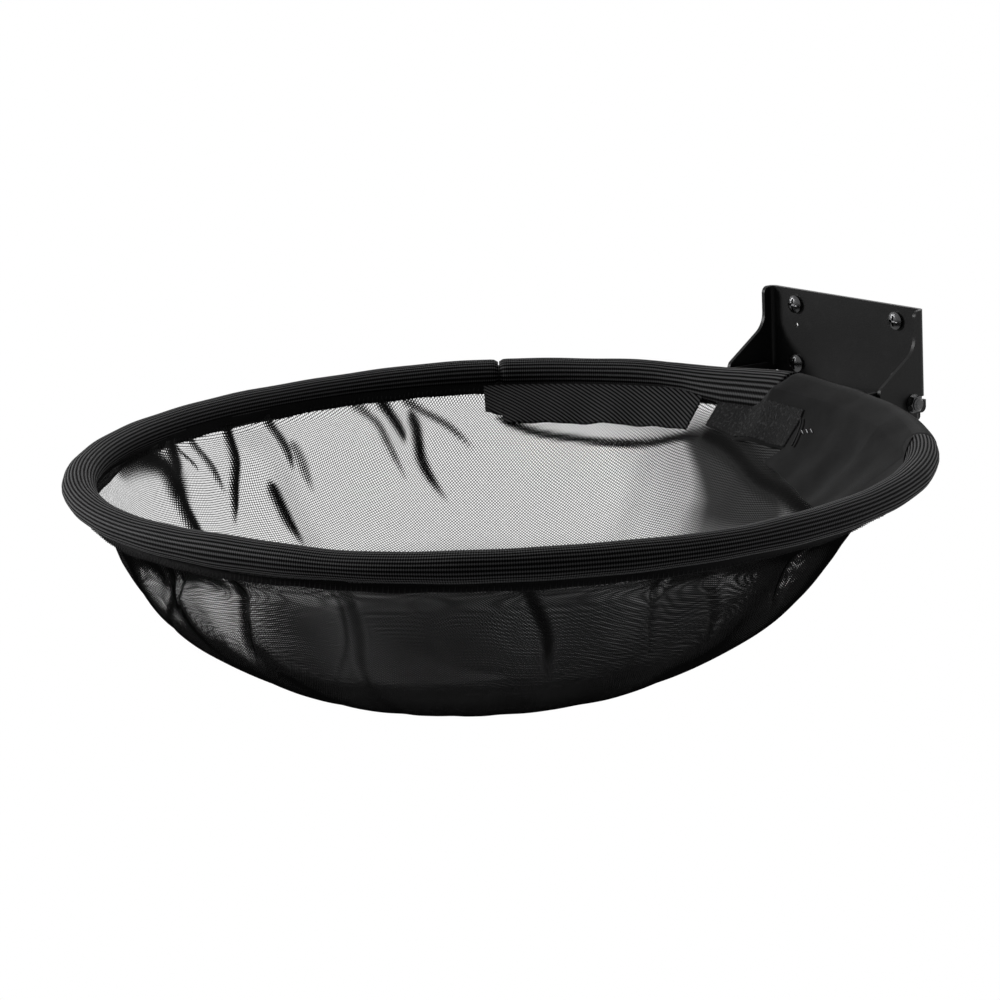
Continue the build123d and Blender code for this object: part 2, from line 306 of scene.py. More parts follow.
def quilt(name, points, u, v, material):
    """A piece from a grid of points, its own lengths in metres kept as its UV map."""
    rows, columns = points.shape[:2]
    i = np.repeat(np.arange(rows - 1), columns - 1)
    j = np.tile(np.arange(columns - 1), rows - 1)
    round_a_face = ((0, 0), (0, 1), (1, 1), (1, 0))
    corners = np.stack([(i + down) * columns + j + on for down, on in round_a_face], -1)
    u, v = np.broadcast_arrays(u, v)
    us, vs = (np.stack([side[i + down, j + on] for down, on in round_a_face], -1) for side in (u, v))
    mesh = bpy.data.meshes.new(name)
    mesh.from_pydata(points.reshape(-1, 3).tolist(), [], corners.tolist())
    mesh.uv_layers.new(name="cut").data.foreach_set("uv", np.stack([us, vs], -1).ravel())
    mesh.shade_smooth()
    piece = bpy.data.objects.new(name, mesh)
    bpy.context.collection.objects.link(piece)
    wear(piece, material)
    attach(piece, "folding_ring")
    return piece


def crown(angle):
    """How much fuller than plain the casing's top is at an angle, in mm."""
    turned = short_way(angle, 0)
    return sum(np.interp(turned + step, full_places, full_height) for step in (-3, 0, 3)) / 3


def stuffed_section():
    """Points round the casing from its foot outward, up and back inside, with their lengths."""
    phi = np.linspace(-math.pi / 2, 1.5 * math.pi, section_points + 1)
    x = casing_half_width * np.cos(phi)
    y = casing_half_height * np.sin(phi)
    way = np.stack([np.cos(phi) / casing_half_width, np.sin(phi) / casing_half_height], -1)
    way /= np.linalg.norm(way, axis=-1, keepdims=True)
    length = np.concatenate([[0], np.cumsum(np.hypot(np.diff(x), np.diff(y)))])
    return np.stack([x, y], -1), way, length


def sleeve(name, start, end, seed, ends, shape=None):
    """A length of ribbed casing, closed against the tube, with its ends pulled in by a share."""
    section, way, length = stuffed_section()
    ribs = round(length[-1] / rib_pitch)
    angle = np.linspace(start, end, round(math.radians(end - start) * tube_circle / row_step))
    along = np.radians(angle) * tube_circle
    from_start = (along - along[0]) / end_reach
    from_end = (along[-1] - along) / end_reach
    pull = 1 - ends[0] * np.exp(-(from_start**1.4)) - ends[1] * np.exp(-(from_end**1.4))
    swell = waves(along, seed, (310, 173, 97, 41), 0.5)
    crest = (0.5 + 0.5 * np.cos(2 * np.pi * ribs * length / length[-1])) ** 0.7
    proud = rib_height * (crest - 1) + swell[:, None] * (0.6 + 0.4 * np.sin(length / 9))
    x = section[:, 0] * pull[:, None] + way[:, 0] * proud
    y = section[:, 1] * pull[:, None] + way[:, 1] * proud
    y = y + crown(angle)[:, None] * top_share(y)
    if shape:
        x, y = shape(angle[:, None], x, y)
    turn = np.linspace(-math.pi / 2, 1.5 * math.pi, len(length))[None, :]
    x = np.concatenate([tube_bore * np.cos(turn), x, tube_bore * np.cos(turn)])
    y = np.concatenate([tube_bore * np.sin(turn), y, tube_bore * np.sin(turn)])
    angle = np.concatenate([angle[:1], angle, angle[-1:]])
    along = np.concatenate([along[:1] - end_inset, along, along[-1:] + end_inset])
    points = at_rim(angle[:, None], tube_circle + x, y)
    around = length / length[-1] * ribs * rib_pitch
    return quilt(name, points, along[:, None] / 1000, around / 1000, rib_knit)


def ribbed_knit(start):
    """A spot of painted shade between the ribs at each stitch, the crests and stitches painted lighter as a
    painted highlight, and a soft shine on the crests.
    """
    cut = start.on_cloth()
    crest = cut.part("Y").wave(rib_pitch / 1000)
    stitch = cut.part("X").wave(stitch_pitch / 1000)
    fuzz = cut.noise(2600.0, 4.0)
    cloud = cut.noise(24.0, 3.0)
    height = 0.5 * crest + 0.5 * stitch + 0.12 * fuzz
    # Base colour lighter on the crests and stitches, a painted highlight, and darker in the valleys,
    # painted shade.
    yarn_and_painted_light = (crest * (0.35 + 0.55 * stitch) + cloud * 0.1).between(0.05, 0.95)
    return {
        "Base Color": yarn_and_painted_light.blend(grey(0.003), grey(0.056)),
        "Roughness": 0.58 - 0.16 * crest + 0.08 * fuzz,
        "Normal": height.bump(0.7, 0.0004),
        # A black diffuse mixed in between the ribs: painted shade.
        "Pits": ((1 - crest) * (1 - stitch)).between(0.06, 0.5) * 0.92,
    }


rib_knit = finish("ribbed_knit", ribbed_knit, Specular_IOR_Level=0.035)
rim_casing = sleeve("rim_casing", casing_start, casing_end, 3, (0.2, 0.03))
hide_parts("rim_sleeve")

# Hem: the casing's seam allowance, sewn under it all round to the top of the net. The net's
# edge is folded into it and its lower edge is overlocked with black thread.
hem_thick = 1.5
hem_rows = 721
overlock_pitch = 2.6
overlock_lean = 0.55
thread_radius = 0.00022
# One stitch: mm out from the hem's foot, mm above it, and share of the stitch's lean.
overlock_stitch = (
    (-0.95, 3.0, 0.0),
    (-1.0, 0.8, 0.3),
    (-0.3, -0.25, 0.55),
    (0.8, -0.1, 0.7),
    (1.05, 1.4, 0.85),
    (0.95, 3.0, 1.0),
)


def hem_line(angle):
    """The hem's seam and its foot round the rim: each out from the tube's middle and up, in mm."""
    far = np.interp(angle % 360, (0, 140, 165, 280, 305, 360), (0, 0, 1, 1, 0, 0))
    a = np.radians(angle)
    sway = 0.35 * np.sin(11 * a + 1.3) + 0.25 * np.sin(23 * a + 0.4)
    rise = 0.25 * np.sin(17 * a + 2.1) + 0.2 * np.sin(41 * a)
    tuck = swell_at(angle, -52, 24)
    lift = 2.2 * tuck + 2.3 * swell_at(angle, -122, 20)
    seam_out = -1.5 - 5.8 * far
    seam_up = -5.2 + 3.2 * far
    foot_out = 5.5 * np.cos(a) - 5 - 6 * tuck + sway
    foot_up = -11.9 + 2.1 * far + rise + lift
    return seam_out, seam_up, foot_out, foot_up


def hem_band():
    """A flat band with a rounded foot, a little wavy, all round under the casing."""
    angle = np.linspace(-180, 180, hem_rows)
    seam_x, seam_y, foot_x, foot_y = (line[:, None] for line in hem_line(angle))
    phi = np.linspace(-math.pi, 0, 9)
    half = hem_thick / 2
    side = np.concatenate([[-half, -half], half * np.cos(phi), [half, half]])
    low = np.concatenate([[0, 0], half + half * np.sin(phi), [0, 0]])
    drop = np.concatenate([[0, 0.6], np.ones(9), [0.6, 0]])
    x = seam_x + (foot_x - seam_x) * drop + side
    y = seam_y + (foot_y - seam_y) * drop + low
    points = at_rim(angle[:, None], tube_circle + x, y)
    step = np.hypot(np.diff(x, axis=1), np.diff(y, axis=1))
    length = np.concatenate([0 * step[:, :1], np.cumsum(step, axis=1)], 1)
    return points, np.radians(angle)[:, None] * tube_circle / 1000, length / 1000


def dense_weave(start):
    cut = start.on_cloth()
    warp = cut.part("X").wave(0.0009)
    weft = cut.part("Y").wave(0.0009)
    cloud = cut.noise(40.0, 3.0)
    height = warp * 0.5 + weft * 0.5 + cut.noise(3000.0) * 0.3
    return {
        "Base Color": (height * 0.5 + cloud * 0.3).blend(grey(0.002), grey(0.014)),
        "Roughness": 0.72 + 0.1 * cloud,
        "Normal": height.bump(0.5, 0.0002),
    }


hem_cloth = finish("hem_cloth", dense_weave, Specular_IOR_Level=0.03)
hem = quilt("net_hem", *hem_band(), hem_cloth)


def unit(vectors):
    """Vectors of the same direction and length 1."""
    return vectors / (np.linalg.norm(vectors, axis=-1, keepdims=True) + 1e-15)


def threads(name, paths, radius, material):
    """Thin four-sided threads along open paths of the same number of points, in metres."""
    sides = 4
    off_every_thread = (0.21, 0.34, 0.92)
    paths = np.asarray(paths)
    ahead = unit(np.gradient(paths, axis=1))
    aside = unit(np.cross(ahead, off_every_thread))
    above = np.cross(ahead, aside)
    turn = np.arange(sides) * 2 * np.pi / sides
    ring = paths[:, :, None] + radius * (
        np.cos(turn)[:, None] * aside[:, :, None] + np.sin(turn)[:, None] * above[:, :, None]
    )
    number, count = paths.shape[:2]
    base = np.arange(number)[:, None, None] * count * sides
    i = np.arange(count - 1)[None, :, None] * sides
    j = np.arange(sides)[None, None, :]
    k = (j + 1) % sides
    corners = np.stack([base + i + j, base + i + k, base + i + sides + k, base + i + sides + j], -1)
    ends = np.concatenate([np.arange(sides)[::-1][None], (count - 1) * sides + np.arange(sides)[None]])
    faces = np.concatenate([corners.reshape(-1, 4), (base + ends[None]).reshape(-1, 4)])
    mesh = bpy.data.meshes.new(name)
    mesh.from_pydata(ring.reshape(-1, 3).tolist(), [], faces.tolist())
    mesh.shade_smooth()
    piece = bpy.data.objects.new(name, mesh)
    bpy.context.collection.objects.link(piece)
    wear(piece, material)
    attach(piece, "folding_ring")
    return piece


def spun_thread(dark, light):
    """The look of a twisted thread, between two greys."""

    def paint(start):
        place = start.on_object()
        twist = place.noise(2500.0, 2.0)
        return {
            "Base Color": twist.blend(grey(dark), grey(light)),
            "Roughness": 0.5 + 0.2 * twist,
            "Normal": twist.bump(0.3, 0.0001),
        }

    return paint


black_thread = finish("black_thread", spun_thread(0.002, 0.01), Specular_IOR_Level=0.08)
grey_thread = finish("grey_thread", spun_thread(0.12, 0.35), Specular_IOR_Level=0.2)


def overlock():
    """Loops of thread over the hem's lower edge, one slanting stitch after another."""
    count = round(math.tau * tube_circle / overlock_pitch)
    random = np.random.default_rng(5)
    first = np.arange(count) * 360 / count - 180
    lean = 360 / count * overlock_lean
    aside, above, ahead = np.transpose(overlock_stitch)[:, None, :]
    uneven = 0.5 * random.uniform(-0.25, 0.35, (count, 1))
    foot_x, foot_y = (line[:, None] for line in hem_line(first)[2:])
    up = foot_y + above * (1 + uneven) + uneven
    return at_rim(first[:, None] + ahead * lean, tube_circle + foot_x + aside, up)


hem_thread = threads("hem_overlock", overlock(), thread_radius, black_thread)

# Mesh bowl: one round piece of black knitted net, cut 486 mm across, its edge pleated into
# the hem so that it hangs as a bowl. It sags forward and creases where the pleats run out.
bowl_depth = 109.6
net_mouth = 206.0
bowl_lean = 19.25
net_rows = 120
net_columns = 901
# The strands: how far apart, how wide and how thick through the net, in mm. Where the net is
# drawn taut they lie flat, to a share of that thickness, between these degrees.
net_pitch = 1.3
strand = 0.36
strand_height = 0.46
taut_height = 0.15
taut_places = (-90, -76, -40, -25)
# The bowl's profile from its mouth to its lowest place, as shares of its depth, its mouth's
# radius, its lean and its pleats' depth.
level_shares = (0.075, 0.09, 0.2, 0.342, 0.5, 0.671, 0.874, 0.968, 1.0, 1.004)
width_shares = (0.99, 0.989, 0.917, 0.872, 0.808, 0.704, 0.504, 0.3, 0.12, 0.0)
lean_shares = (0.25, 0.288, 0.481, 0.663, 0.78, 0.82, 0.925, 0.98, 1.0, 1.0)
pleat_shares = (0.0, 0.1, 0.55, 1.0, 0.9, 0.75, 0.4, 0.12, 0.0, 0.0)
pleat_angles = (-165, -142, -118, -93, -79, -50, -30, -12, 4, 23, 38, 52, 76, 98, 122, 150, 176)
pleat_depth = 4.0
# How far the mouth is drawn in at the left front, in mm, and where, in degrees.
drawn_in = (5.5, -52, 26)
# Creases: darkness, which closes the net's holes there and darkens it as painted shade, half width in mm,
# fall into the bowl in mm, then places along it as degrees round the bowl and depth as a share.
creases = (
    (1.0, 8.5, 1.0, (
        (-62, 0.055), (-68, 0.075), (-72, 0.11), (-73.5, 0.16), (-73.6, 0.22), (-73.7, 0.3),
        (-73.8, 0.4),
    )),
    (1.0, 4.4, 2.0, (
        (-77.5, 0.09), (-76, 0.14), (-74, 0.2), (-73.7, 0.3), (-73.8, 0.39), (-74, 0.47),
        (-73, 0.62), (-72, 0.75),
    )),
    (0.9, 1.1, 0.8, ((-78.6, 0.1), (-79.6, 0.15), (-80.2, 0.2))),
    (0.72, 2.4, 1.2, ((-82.2, 0.08), (-82.8, 0.13), (-83.4, 0.18), (-84.3, 0.25), (-85.5, 0.33))),
    (1.0, 2.7, 2.0, ((-90.2, 0.08), (-88.4, 0.25), (-86.8, 0.36), (-84.6, 0.46))),
    (0.95, 3.4, 1.6, ((-94.0, 0.31), (-94.9, 0.42), (-95.4, 0.5), (-96.2, 0.6))),
    (0.8, 2.6, 1.5, ((-97.6, 0.08), (-98.8, 0.171), (-99.8, 0.3))),
    (0.45, 3.0, 1.2, ((-100.2, 0.17), (-101.6, 0.268), (-102.8, 0.4))),
    (1.0, 2.3, 1.6, ((-116.3, 0.08), (-117.5, 0.116), (-119.0, 0.185), (-119.8, 0.24))),
    (0.6, 1.9, 1.4, (
        (-112.0, 0.08), (-113.4, 0.1), (-115.4, 0.15), (-116.6, 0.22), (-118.2, 0.31),
        (-119.8, 0.4),
    )),
    (0.95, 2.7, 2.0, (
        (-120.6, 0.11), (-121.5, 0.173), (-121.9, 0.234), (-122.4, 0.3), (-123.4, 0.363),
        (-125, 0.43), (-127, 0.5),
    )),
    (0.7, 1.6, 1.2, (
        (-120.1, 0.085), (-123.2, 0.128), (-126.3, 0.174), (-128.8, 0.225), (-131.5, 0.291),
    )),
    (1.0, 2.0, 1.2, (
        (-134.0, 0.155), (-140.5, 0.212), (-148.3, 0.248), (-157.9, 0.261), (-166.8, 0.196),
    )),
    (1.0, 2.4, 1.2, ((-170.5, 0.2), (-166, 0.212), (-160, 0.25), (-152, 0.256), (-142, 0.22))),
    (1.0, 8.0, 3.0, (
        (-168, 0.18), (-174.5, 0.213), (-180.4, 0.266), (-189, 0.33), (-202.8, 0.38),
        (-214, 0.41), (-224, 0.43),
    )),
    (1.0, 3.2, 1.5, ((-3.8, 0.08), (-9.6, 0.27), (-17.4, 0.46), (-26, 0.62))),
    (0.5, 1.4, 1.0, ((-0.8, 0.08), (-6.0, 0.25), (-11.4, 0.41))),
    (0.9, 4.0, 1.8, ((7.4, 0.08), (7.9, 0.223), (4.3, 0.455), (0.5, 0.62))),
    (0.6, 2.2, 1.2, ((23.6, 0.1), (24.7, 0.214), (24.1, 0.436), (13.5, 0.794))),
    (0.6, 4.5, 1.8, ((25.6, 0.1), (27.2, 0.372), (24.2, 0.668))),
    (0.9, 4.2, 1.8, ((50.4, 0.08), (53.5, 0.218), (56.6, 0.388), (58.5, 0.686))),
    (0.55, 3.0, 1.4, ((70.3, 0.09), (72.1, 0.264), (77.5, 0.587))),
    (0.6, 4.0, 1.5, ((77.0, 0.09), (83.0, 0.299), (89.4, 0.574))),
    (0.6, 4.0, 1.5, ((97.0, 0.09), (100.0, 0.3), (104.0, 0.5))),
    (0.5, 4.0, 1.5, ((121.0, 0.09), (122.0, 0.25), (124.0, 0.45))),
)
# Places where the net is gathered into thick folds: darkness, which closes the holes and darkens the net
# as painted shade, centre and reach in degrees round the bowl, centre and reach in depth.
thick_places = (
    (0.7, -32.0, 9.0, 0.25, 0.5),
    (0.6, 15.0, 8.0, 0.5, 0.6),
    (0.5, 39.0, 15.0, 0.5, 0.6),
    (0.4, 61.0, 8.0, 0.5, 0.6),
    (0.4, 78.0, 9.0, 0.5, 0.6),
    (0.5, 97.0, 12.0, 0.5, 0.6),
    (0.6, 117.0, 26.0, 0.3, 0.4),
)
# Towards its middle the net lies in layers, which let little light through and are painted darker, as
# painted
# shade: from these depths, at these degrees, over an edge in depth, and how much of the holes they cover.
layered_at = (-80, -68, -46, -36, 100, 130, 170, 180)
layered_from = (0.7, 0.79, 0.79, 0.7, 0.7, 0.62, 0.62, 0.7)
layered_edge = 0.24
layered_cover = 0.91
# It is also drawn together from a fold behind to the smooth flap. The fold is given by depths and degrees;
# beside it the net closes softly to the first share, then to the second, and is painted darker as painted
# shade.
side_fold = ((0.2, 193.5), (0.34, 189.0), (0.45, 185.5), (0.53, 184.8), (0.7, 182.0))
side_near = 0.45
side_drawn = 0.95


def fair(places, count):
    """A smooth line of evenly numbered points through given ones, each coordinate by itself."""
    places = np.asarray(places, float)
    padded = np.concatenate([[2 * places[0] - places[1]], places, [2 * places[-1] - places[-2]]])
    t = np.linspace(0, len(places) - 1 - 1e-9, count)
    i = t.astype(int)
    f = (t - i)[:, None]
    a, b, c, d = (padded[i + k] for k in range(4))
    return 0.5 * (2 * b + (c - a) * f + (2 * a - 5 * b + 4 * c - d) * f**2 + (3 * b - a - 3 * c + d) * f**3)


def crease_marks(angle, depth, radius):
    """How closed the net is along its creases, which also darkens it as painted shade, and how far they
    fall into the bowl, in mm.
    """
    gather_and_shade = 0 * radius
    fall = 0 * radius
    share = np.linspace(0, 1, 60)
    for dark, half, sink, line in creases:
        fade = np.clip((1 - share) / 0.45, 0, 1) ** 0.8
        if line[0][1] >= 0.11:
            fade = np.clip(share / 0.12, 0, 1) ** 0.7 * fade
        near = np.full(radius.shape, 1e9)
        strength = 0 * radius
        for (where, deep), left in zip(fair(line, 60), fade):
            sideways = np.radians(short_way(angle, where)) * np.maximum(radius, 30)
            apart = np.hypot(sideways, (depth[:, None] - deep) * bowl_depth * 1.25)
            closer = apart < near
            near = np.where(closer, apart, near)
            strength = np.where(closer, left, strength)
        reach = half * (0.35 + 0.65 * strength)
        mark = np.exp(-((near / reach) ** 3)) * np.minimum(1, strength * 1.6)
        gather_and_shade = np.maximum(gather_and_shade, dark * mark)
        fall = np.maximum(fall, sink * mark)
    return gather_and_shade, fall


def layers(angle, depth):
    """How much of its holes the net covers where it lies in layers or is drawn to the flap; the same share
    darkens it there as painted shade.
    """
    from_edge = depth[:, None] - np.interp(angle, layered_at, layered_from) + layered_edge / 3
    veil = np.clip(from_edge / layered_edge, 0, 1)
    veil = layered_cover * veil**2 * (3 - 2 * veil)
    fold_depth, fold_angle = np.transpose(side_fold)
    past = np.interp(depth, fold_depth, fold_angle)[:, None] - angle % 360
    past = np.where(np.abs(past) < 60, past, -60)
    width = np.interp(depth, (0.3, 0.55), (1.6, 6))[:, None]
    side = side_near * np.clip(1 + past / 16, 0, 1)
    side = side + (side_drawn - side_near) * np.clip(past / width + 0.5, 0, 1)
    side = side * np.interp(past, (20, 34), (1, 0))
    side = side * np.interp(depth, (0.1, 0.2, 0.5, 0.7), (0, 1, 1, 0.6))[:, None]
    return np.maximum(veil, side)


def net_surface():
    """The bowl as a grid from its edge to its lowest place: points, flat cut places, how far it is gathered
    and layered there, which also sets its painted shade, and how far from the cut's middle each row is."""
    shares = np.stack([level_shares, width_shares, lean_shares, pleat_shares], -1)
    profile = fair(shares, 700)
    step = np.hypot(np.diff(profile[:, 0]) * bowl_depth, np.diff(profile[:, 1]) * net_mouth)
    length = np.concatenate([[0], np.cumsum(step)])
    even = np.linspace(0, length[-1], net_rows)
    depth, width, lean, pleat = (np.interp(even, length, profile[:, k]) for k in range(4))
    from_middle = length[-1] - even
    angle = np.linspace(-180, 180, net_columns)
    a = np.radians(angle)
    folds = np.array(pleat_angles + (pleat_angles[0] + 360,), float)
    turned = np.where(angle < folds[0], angle + 360, angle)
    which = np.clip(np.searchsorted(folds, turned, side="right") - 1, 0, len(folds) - 2)
    across = (turned - folds[which]) / (folds[which + 1] - folds[which])
    valley = (0.5 + 0.5 * np.cos(2 * np.pi * across)) ** 2
    radius = width[:, None] * net_mouth - pleat[:, None] * pleat_depth * valley
    tucked_up = np.interp(depth, (0.075, 0.11), (2.6, 0))
    down = (depth * bowl_depth - tucked_up)[:, None] + 0 * radius
    gather_and_shade, fall = crease_marks(angle, depth, radius)
    for dark, where, reach, deep, high in thick_places:
        sideways = short_way(angle, where) / reach
        apart = np.hypot(sideways, (depth[:, None] - deep) / high)
        fade = np.interp(depth, (0.7, 0.95), (1, 0))[:, None]
        gather_and_shade = np.maximum(gather_and_shade, dark * np.clip(1.35 - apart, 0, 1) ** 0.8 * fade)
    veil = layers(angle, depth)
    how_far, where, reach = drawn_in
    inward = how_far * swell_at(angle, where, reach)
    radius = radius - fall - inward * np.interp(depth, (0.075, 0.12, 0.25), (1, 0.8, 0))[:, None]
    ripple = sum(np.sin(k * a + k) for k in (11, 19, 31)) / 3
    radius = radius + ripple * np.clip(pleat, 0, 1)[:, None]
    x = radius * np.sin(a)
    y = -rim_centre_out - (lean * bowl_lean)[:, None] - radius * np.cos(a)
    points = np.stack([x, y, rim_level - down], -1) / 1000
    cut = np.stack([from_middle[:, None] * np.sin(a), -from_middle[:, None] * np.cos(a)], -1) / 1000
    return points, cut, gather_and_shade, veil, from_middle / 1000


def knitted_net(start):
    """Crossing strands with open holes, which close up where the net is gathered or layered.
    Open strands are painted lighter, a painted sheen; gathered and layered net is painted darker, painted
    shade.
    """
    cut = start.on_cloth()
    marks = ({"attribute_name": name} for name in ("gather_and_shade", "veil"))
    gather_and_shade, veil = (start.node("Attribute", mark, {}, "Fac") for mark in marks)
    cover = strand / net_pitch + gather_and_shade * (1 - strand / net_pitch)
    edge = 1 - cover
    bars = [cut.part(side).wave(net_pitch / 1000) for side in "XY"]
    hole_edge = edge.math("SINE", edge * (math.pi / 2)) ** 2
    across, along = (bar.math("GREATER_THAN", bar, hole_edge) for bar in bars)
    yarn_and_painted_light = across.larger(along)
    fuzz = cut.noise(1800.0, 3.0)
    # Painted light and shade: open strands painted lighter as a painted sheen, gathered or layered net and
    # its covered holes painted darker as painted shade.
    painted_light_share = 1 - gather_and_shade.larger(0.9 * veil)
    tone_with_painted_light = (0.3 + 0.7 * fuzz) * (0.2 + 0.8 * yarn_and_painted_light) * (0.003 + 0.117 * painted_light_share)
    return {
        "Base Color": tone_with_painted_light.blend((0, 0, 0, 1), (1, 1, 1, 1)),
        "Roughness": 0.55 + 0.15 * fuzz,
        "Alpha": yarn_and_painted_light + (1 - yarn_and_painted_light) * veil,
        "Normal": (bars[0] + bars[1]).bump(0.3, 0.0002),
    }


net_points, net_cut, net_gather_and_shade, net_veil_and_shade, net_reach = net_surface()
net = finish("knitted_net", knitted_net, Specular_IOR_Level=0.035)
mesh_cloth = quilt("mesh_bowl_cloth", net_points, net_cut[..., 0], net_cut[..., 1], net)
for name, values in (("gather_and_shade", net_gather_and_shade), ("veil", net_veil_and_shade)):
    mesh_cloth.data.attributes.new(name, "FLOAT", "POINT").data.foreach_set("value", values.ravel())
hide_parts("mesh_bowl")


def strand_walls():
    """The strands' thickness: a thin upright wall along each one, through the net's surface."""
    reach = net_reach[0] * 1000
    outermost = math.floor(reach / net_pitch)
    lines = np.arange(-outermost, outermost + 1) * net_pitch
    fx, fy = np.meshgrid(lines, lines, indexing="ij")
    from_middle = np.hypot(fx, fy)
    inside = from_middle < reach
    rows, columns = net_points.shape[:2]
    row = np.clip((reach - from_middle) / reach * (rows - 1), 0, rows - 1.001)
    turn = np.degrees(np.arctan2(fx, -fy)) + 180
    column = np.clip(turn / 360 * (columns - 1), 0, columns - 1.001)
    i, j = row.astype(int), column.astype(int)
    f, g = (row - i)[..., None], (column - j)[..., None]

    def read(grid):
        """A grid's value at each crossing of two strands."""
        upper = grid[i, j] * (1 - g) + grid[i, j + 1] * g
        lower = grid[i + 1, j] * (1 - g) + grid[i + 1, j + 1] * g
        return upper * (1 - f) + lower * f

    facing = np.cross(np.gradient(net_points, axis=0), np.gradient(net_points, axis=1))
    facing[-1] = (0, 0, 1)
    middle = read(net_points)
    normal = unit(read(unit(facing)))
    veil = read(net_veil_and_shade[..., None])[..., 0]
    around = np.degrees(np.arctan2(middle[..., 0], -middle[..., 1] - rim_centre_out / 1000))
    flat = np.interp(around, taut_places, (1, taut_height, taut_height, 1))
    height = (1 - 0.3 * veil) * flat * strand_height
    half = normal[inside] * height[inside][:, None] / 2000
    corners = np.concatenate([middle[inside] - half, middle[inside] + half])
    number = np.full(inside.shape, -1)
    number[inside] = np.arange(inside.sum())
    faces = []
    for first, second in ((number[:-1], number[1:]), (number[:, :-1], number[:, 1:])):
        both = (first >= 0) & (second >= 0)
        a, b = first[both], second[both]
        faces.append(np.stack([a, b, b + len(half), a + len(half)], -1))
    return corners, np.concatenate(faces)


def plain_strand(start):
    """The strands' sides, darker than their face, which is painted lighter as a painted sheen."""
    place = start.on_object()
    return {"Base Color": place.noise(300.0).blend(grey(0.003), grey(0.009))}


strand_yarn = finish("strand_yarn", plain_strand, Specular_IOR_Level=0.06, Roughness=0.6)
wall_corners, wall_faces = strand_walls()
strand_mesh = bpy.data.meshes.new("mesh_bowl_strands")
strand_mesh.vertices.add(len(wall_corners))
strand_mesh.vertices.foreach_set("co", wall_corners.ravel())
strand_mesh.loops.add(4 * len(wall_faces))
strand_mesh.loops.foreach_set("vertex_index", wall_faces.ravel())
strand_mesh.polygons.add(len(wall_faces))
strand_mesh.polygons.foreach_set("loop_start", np.arange(len(wall_faces)) * 4)
strand_mesh.update(calc_edges=True)
strands = bpy.data.objects.new("mesh_bowl_strands", strand_mesh)
bpy.context.collection.objects.link(strands)
wear(strands, strand_yarn)
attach(strands, "folding_ring")

# Left flap: the ribbed knit again. Its casing closes the rim behind the bowl from the notch to
# the smooth flap, and a short panel with slanting ribs hangs from it inside the bowl.
left_start = -180.3
left_end = -133.35
# How far the loose cloth stands up over the hinge's arms behind the bowl: degrees, and mm.
behind_places = (144, 156, 163, 168, 188, 192, 196, 204, 212)
behind_height = (0, 1.2, 1.2, 1.9, 1.9, 1.2, 0.8, 0.4, 0)
lip_out = -15.0
lip_up = -7.2
# The line that the panels hang on: its slope in degrees, and its start from the tube's middle,
# in towards the bowl and down, in mm.
panel_slope = math.radians(36.5)
panel_inset = 7.2
panel_hang = 3.2
panel_thick = 1.5
panel_length = 29
mm_per_degree = 3.6
# The slanting ribs: how far apart, and which way across them, along the rim and down.
slant_pitch = 1.9
slant_along = 0.555
slant_down = 0.832


def behind_lift(angle):
    """How far the loose cloth stands up behind the bowl, in mm, with a peak where flaps meet."""
    return np.interp(angle, behind_places, behind_height) + 1.7 * swell_at(angle, 180, 5.5)


def left_shape(angle, x, y):
    """The left casing stands up behind, and towards its cut end its inner half hangs as a lip."""
    high = behind_lift(angle % 360)
    grown = y + high * top_share(y)
    lip = np.interp(angle % 360, (180, 190, 194, 198, 202), (1, 1, 0.7, 0.2, 0))
    phi = np.linspace(-math.pi / 2, 1.5 * math.pi, x.shape[1])
    share = np.clip((phi - math.pi / 2) / math.pi, 0, 1)
    down = np.clip(share / 0.7, 0, 1) * math.pi / 2
    home = np.clip((share - 0.7) / 0.3, 0, 1)
    top = casing_half_height + high
    lip_x = lip_out * np.sin(down) * (1 - home)
    lip_y = (top + (lip_up - top) * (1 - np.cos(down))) * (1 - home) - casing_half_height * home
    ribs = (x - casing_half_width * np.cos(phi)) * 0.8
    part = lip * np.clip(share * 12, 0, 1)
    return x + (lip_x + ribs - x) * part, grown + (lip_y - grown) * part


left_casing = sleeve("left_flap_casing", left_start, left_end, 8, (0.0, 0.2), left_shape)


def on_panel(along, above):
    """Out and up of a place on the line the panels hang on, and above it, in mm."""
    x = -panel_inset - along * math.cos(panel_slope) - above * math.sin(panel_slope)
    return x, -panel_hang - along * math.sin(panel_slope) + above * math.cos(panel_slope)


def left_rise(along, angle):
    """A slight belly, a ripple along the lower edge and the slanting ribs, in mm."""
    across = np.radians(angle) * tube_circle * slant_along + along * slant_down
    ribs = 0.2 * np.cos(across * 2 * math.pi / slant_pitch)
    ripple = waves(angle * mm_per_degree, 31, (47, 29), 0.8) * along / panel_length
    return 0.5 * np.sin(along / panel_length * math.pi) + ripple + ribs


def panel_sheet(angle, length):
    """Grid of the thin doubled panel: down its inner face, round its fold and back behind."""
    down = np.linspace(0, 1, 60) * length[:, None]
    fold = np.linspace(math.pi / 2, -math.pi / 2, 7)[1:-1]
    half = panel_thick / 2
    foot = length[:, None] + half * np.cos(fold)
    along = np.concatenate([down, foot, down[:, ::-1]], 1)
    above = np.concatenate([0 * down + half, half * np.sin(fold) + 0 * foot, 0 * down - half], 1)
    x, y = on_panel(along, above + left_rise(along, angle[:, None]))
    points = at_rim(angle[:, None], tube_circle + x, y)
    return points, np.radians(angle)[:, None] * tube_circle / 1000, along / 1000


